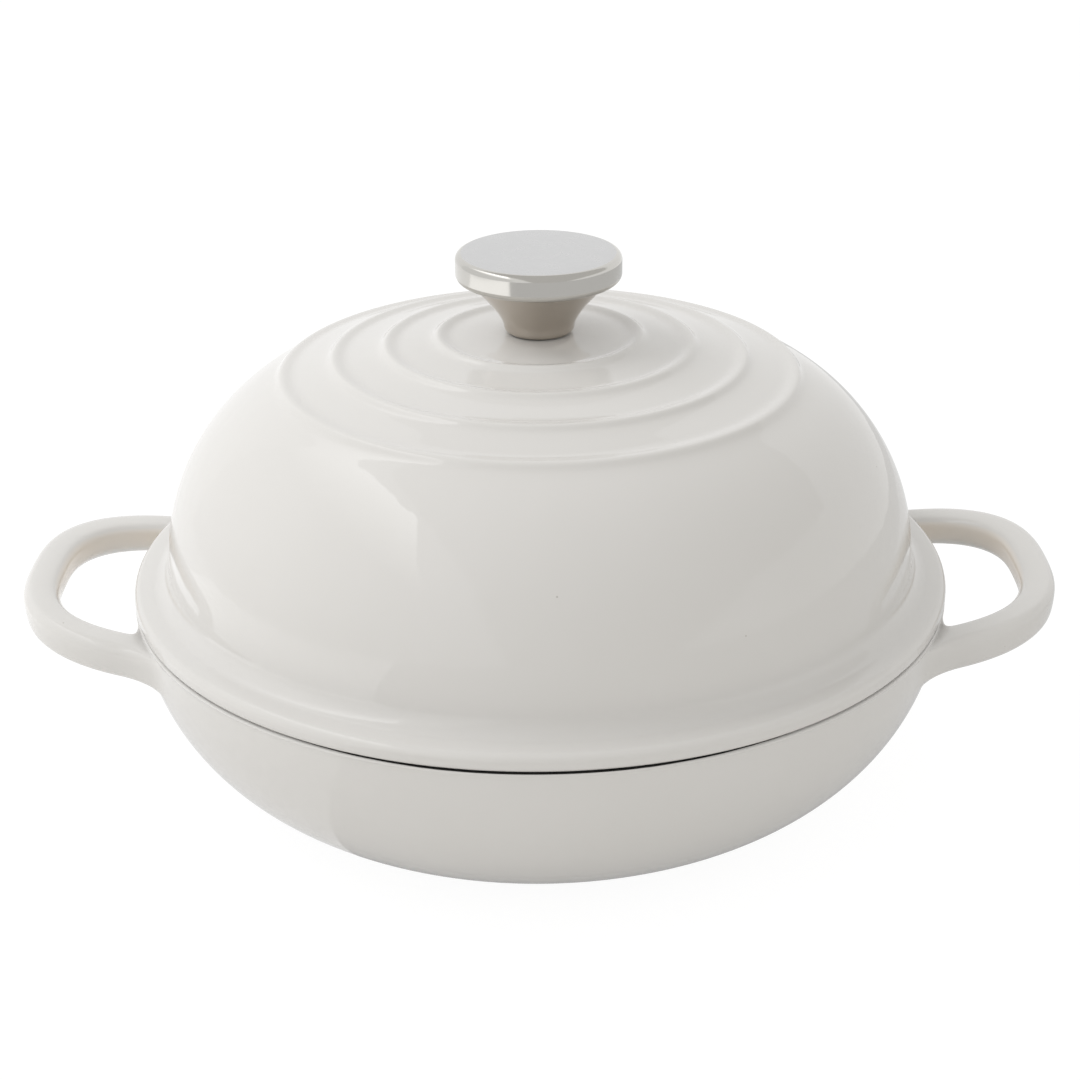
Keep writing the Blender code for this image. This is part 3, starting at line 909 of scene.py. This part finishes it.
def cut_slot(screw, size):
    """Cut the driver's slot across the screw's head and keep the result as its mesh."""
    low = SCREW_BOX[0].z
    block = bmesh.new()
    bmesh.ops.create_cube(block, size=1.0)
    extent = (CUTTER_LENGTH, size.slot_width, size.slot_depth * 2)
    bmesh.ops.scale(block, verts=block.verts, vec=extent)
    bmesh.ops.translate(block, verts=block.verts, vec=(0.0, 0.0, low))
    cutter = add_mesh("slot_cutter", block)
    cut = screw.modifiers.new("slot", "BOOLEAN")
    cut.operation = "DIFFERENCE"
    cut.solver = "EXACT"
    cut.object = cutter
    bpy.context.view_layer.update()
    graph = bpy.context.evaluated_depsgraph_get()
    done = bpy.data.meshes.new_from_object(screw.evaluated_get(graph))
    screw.modifiers.remove(cut)
    screw.data = done
    bpy.data.objects.remove(cutter)


class BREADOVEN_OT_finishes(Operator):
    """Make the enamel, steel, zinc and silicone finishes"""

    bl_idname = "breadoven.finishes"
    bl_label = "Finishes"

    def execute(self, context):
        colours = context.scene.breadoven_finish
        rim_radius = context.scene.breadoven_pan.rim_radius
        gloss_enamel(colours, context.scene.breadoven_handle, rim_radius)
        matte_enamel(colours)
        rim_enamel(colours, rim_radius)
        satin_enamel(colours)
        turned_steel("satin_stainless_steel", colours.satin_steel, 0.28, 0.01, 0.0000001)
        turned_steel("polished_stainless_steel", colours.polished_steel, 0.13, 0.02, 0.000001)
        turned_steel("bright_stainless_steel", colours.bright_steel, 0.09, 0.02, 0.0000005)
        zinc_plate(colours)
        silicone(colours)
        return {"FINISHED"}


# Stage

WHITE = (1.0, 1.0, 1.0, 1.0)
FLOOR_RADIUS = 4.0
FLOOR_SHADE = (0.10, 0.10, 0.10, 1.0)  # catches the shadow that the camera sees
FLOOR_GLOW = 0.945  # brings the unshaded floor up to white


def empty_tree(block):
    """Node tree of a material or world, with nothing in it."""
    block.use_nodes = True
    block.node_tree.nodes.clear()
    return block.node_tree


def add_background(tree, output, lit, seen):
    """Link one shader for diffuse light, and one for camera, glossy and see-through rays."""
    path = add_node(tree, "LightPath").outputs
    rays = calculate(tree, "MAXIMUM", path["Is Camera Ray"], path["Is Glossy Ray"])
    rays = calculate(tree, "MAXIMUM", rays, path["Is Transmission Ray"])
    mixed = add_node(tree, "MixShader", {"Fac": rays, 1: lit, 2: seen})
    add_node(tree, output, {"Surface": mixed.outputs["Shader"]})


def floor_finish():
    """Matte floor that the camera sees as white, with the object's soft shadow kept."""
    finish = bpy.data.materials.new("studio_floor_white")
    tree = empty_tree(finish)
    plain = add_node(tree, "BsdfDiffuse", {"Color": (*srgb("#F1F0EE"), 1.0)})
    shade = add_node(tree, "BsdfDiffuse", {"Color": FLOOR_SHADE})
    glow = add_node(tree, "Emission", {"Color": WHITE, "Strength": FLOOR_GLOW})
    seen = add_node(tree, "AddShader", {0: shade.outputs["BSDF"], 1: glow.outputs["Emission"]})
    add_background(tree, "OutputMaterial", plain.outputs["BSDF"], seen.outputs["Shader"])
    return finish


def glow_finish(name, tint, strength):
    """Material that only shines; strength takes the node tree and gives a number or a socket."""
    finish = bpy.data.materials.new(name)
    tree = empty_tree(finish)
    glow = add_node(tree, "Emission", {"Color": tint, "Strength": strength(tree)})
    add_node(tree, "OutputMaterial", {"Surface": glow.outputs["Emission"]})
    return finish


def add_lamp(name, y, z, width, height, radiance):
    """Soft lamp in the light box's front; radiance 1 is as bright as a fully lit white wall."""
    data = bpy.data.lights.new(name, "AREA")
    data.shape = "RECTANGLE"
    data.size = width
    data.size_y = height
    data.energy = radiance * pi * width * height
    lamp = bpy.data.objects.new(name, data)
    lamp.location = (LIGHT_BOX_X, y, z)
    lamp.rotation_euler = Vector((LIGHT_BOX_X, 0.0, 0.0)).to_track_quat("Z", "Y").to_euler()
    lamp.visible_glossy = False
    bpy.context.scene.collection.objects.link(lamp)


# Light box: its place, its front as (y, z) corners, and the heights between which it brightens
LIGHT_BOX_X = -0.62
LIGHT_BOX_CORNERS = ((0.42, 0.02), (0.49, 0.45), (0.496, 0.787), (0.465, 0.992),
                     (0.248, 1.147), (-0.26, 1.246), (-0.453, 1.104), (-0.756, 0.744),
                     (-0.905, 0.353), (-0.92, 0.02))
BRIGHTENS_FROM, BRIGHTENS_TO = 0.62, 1.2

# Cards on the table: (x, y) corners, brightness, and the distance where they are fully bright;
# nearer the pan their glow is dimmed as a painted shadow
TABLE_CARDS = {
    "white_card": (((0.0, 0.0), (-0.61, -0.742), (-0.61, 0.15), (0.0, 0.15)), 1.4, 0.36),
    "grey_card": (((0.0, 0.0), (0.0, 0.15), (0.34, 0.15), (0.34, 0.36), (0.12, 0.40), (0.12, 0.65),
                   (3.0, 0.65), (3.0, -4.0), (-0.61, -4.0), (-0.61, -0.742)), 0.70, 0.16),
    "pale_card": (((0.0, 0.15), (0.34, 0.15), (0.34, 0.36), (0.12, 0.40), (0.12, 0.65),
                   (0.0, 0.65)), 0.82, 0.16),
}
CARD_Z = -0.0001
FLOOR_Z = -0.0002
# Painted shadow round the pan: within this radius the cards glow at this share of their brightness
PAINTED_SHADOW_RADIUS = 0.07
PAINTED_SHADOW_SHARE = 0.5

# Room: both ends, and (y, z) of the ceiling's back edge, its front edge and the wall's foot
ROOM_LEFT, ROOM_RIGHT = -0.6, 3.0
ROOM_BACK, ROOM_CORNER, ROOM_FOOT = (0.95, 1.3), (-1.2, 1.3), (-4.0, 0.0)
ROOM_TINT = (1.0, 0.99, 0.97, 1.0)
ROOM_GLOW = 0.66


def add_card(name, corners, finish):
    """Flat lit card of the studio, seen only in reflections."""
    shape = bmesh.new()
    shape.faces.new([shape.verts.new(corner) for corner in corners])
    card = add_mesh(name, shape, finish)
    for ray in ("camera", "diffuse", "transmission", "shadow"):
        setattr(card, f"visible_{ray}", False)


def add_light_box(stage):
    """Lit face of the light box on the left, which only the glossy finishes see."""
    def strength(tree):
        axes = add_node(tree, "SeparateXYZ", {"Vector": object_coordinates(tree)})
        return remap(tree, axes.outputs["Z"], BRIGHTENS_FROM, BRIGHTENS_TO,
                     stage.box_low, stage.box_high)

    corners = [(LIGHT_BOX_X, y, z) for y, z in LIGHT_BOX_CORNERS]
    add_card("light_box", corners, glow_finish("light_box_face", WHITE, strength))


def add_table_cards():
    """Grey card on the table, white at its left and paler behind, which the finishes reflect."""
    for name, (plan, tone, far) in TABLE_CARDS.items():
        def strength(tree):
            radius = distance(tree, object_coordinates(tree))
            # Painted shadow: the card's glow is dimmed towards the pan
            return remap(tree, radius, PAINTED_SHADOW_RADIUS, far, PAINTED_SHADOW_SHARE * tone, tone)

        add_card(name, [(x, y, CARD_Z) for x, y in plan], glow_finish(name, WHITE, strength))


def add_ceiling():
    """Grey ceiling and grey wall behind the camera, which the knob's edge reflects."""
    finish = glow_finish("grey_ceiling", ROOM_TINT, lambda tree: ROOM_GLOW)
    for name, (near_y, near_z), (far_y, far_z) in (
            ("ceiling", ROOM_BACK, ROOM_CORNER), ("rear_wall", ROOM_CORNER, ROOM_FOOT)):
        add_card(name, [(ROOM_LEFT, near_y, near_z), (ROOM_RIGHT, near_y, near_z),
                        (ROOM_RIGHT, far_y, far_z), (ROOM_LEFT, far_y, far_z)], finish)


class BREADOVEN_OT_stage(Operator):
    """Set up the floor, light boxes, room light and camera"""

    bl_idname = "breadoven.stage"
    bl_label = "Stage"

    def execute(self, context):
        scene = context.scene
        stage = scene.breadoven_stage
        shape = bmesh.new()
        bmesh.ops.create_circle(shape, cap_ends=True, segments=96, radius=FLOOR_RADIUS)
        floor = add_mesh("studio_floor", shape, floor_finish())
        floor.location.z = FLOOR_Z

        world = bpy.data.worlds.new("studio_room")
        scene.world = world
        tree = empty_tree(world)
        dim, bright = [
            add_node(tree, "Background", {"Color": tint, "Strength": strength}).outputs[0]
            for tint, strength in (((*stage.room, 1.0), stage.ambient), (WHITE, 1.0))]
        add_background(tree, "OutputWorld", dim, bright)

        add_lamp("key_lamp", -0.20, 0.32, 1.35, 0.60, stage.key)
        add_lamp("high_lamp", 0.1375, 0.92, 0.675, 0.60, stage.high)
        add_light_box(stage)
        add_table_cards()
        add_ceiling()

        data = bpy.data.cameras.new("camera")
        data.lens = stage.lens
        data.shift_x = stage.lens_shift
        data.sensor_width = 36.0
        camera = bpy.data.objects.new("camera", data)
        turn = Matrix.Rotation(-stage.camera_turn, 3, "Z")
        target = turn @ Vector((stage.target_right, 0.0, stage.target_height))
        back = turn @ Vector((0.0, -cos(stage.camera_pitch), sin(stage.camera_pitch)))
        camera.location = target + back * stage.camera_distance
        camera.rotation_euler = (-back).to_track_quat("-Z", "Y").to_euler()
        scene.collection.objects.link(camera)
        scene.camera = camera
        scene.view_settings.view_transform = "Standard"
        return {"FINISHED"}


class BREADOVEN_PT_panel(Panel):
    """Sizes, colours and build steps of the bread oven"""

    bl_idname = "BREADOVEN_PT_panel"
    bl_label = "Bread oven"
    bl_space_type = "VIEW_3D"
    bl_region_type = "UI"
    bl_category = "Bread oven"

    def draw(self, context):
        for name in GROUPS:
            box = self.layout.box()
            group = getattr(context.scene, name)
            box.label(text=name.replace("_", " "))
            for prop in group.bl_rna.properties:
                if prop.identifier not in ("rna_type", "name"):
                    box.prop(group, prop.identifier)
        for operator in OPERATORS:
            self.layout.operator(operator.bl_idname)


GROUPS = {
    "breadoven_pan": BREADOVEN_PG_pan,
    "breadoven_handle": BREADOVEN_PG_handle,
    "breadoven_lid": BREADOVEN_PG_lid,
    "breadoven_knob": BREADOVEN_PG_knob,
    "breadoven_finish": BREADOVEN_PG_finish,
    "breadoven_stage": BREADOVEN_PG_stage,
}
OPERATORS = (BREADOVEN_OT_finishes, BREADOVEN_OT_pan, BREADOVEN_OT_lid, BREADOVEN_OT_knob,
             BREADOVEN_OT_fixing, BREADOVEN_OT_stage)


def register():
    """Register the classes and hang the property groups on the scene."""
    for name, group in GROUPS.items():
        bpy.utils.register_class(group)
        setattr(Scene, name, PointerProperty(type=group))
    for kind in (*OPERATORS, BREADOVEN_PT_panel):
        bpy.utils.register_class(kind)


def unregister():
    """Take back everything that register added."""
    for kind in (BREADOVEN_PT_panel, *OPERATORS):
        bpy.utils.unregister_class(kind)
    for name, group in GROUPS.items():
        delattr(Scene, name)
        bpy.utils.unregister_class(group)


def main():
    """Build the object and its stage."""
    register()
    bpy.ops.breadoven.finishes()
    bpy.ops.breadoven.pan()
    bpy.ops.breadoven.lid()
    bpy.ops.breadoven.knob()
    bpy.ops.breadoven.fixing()
    bpy.ops.breadoven.stage()


if __name__ == "__main__":
    main()
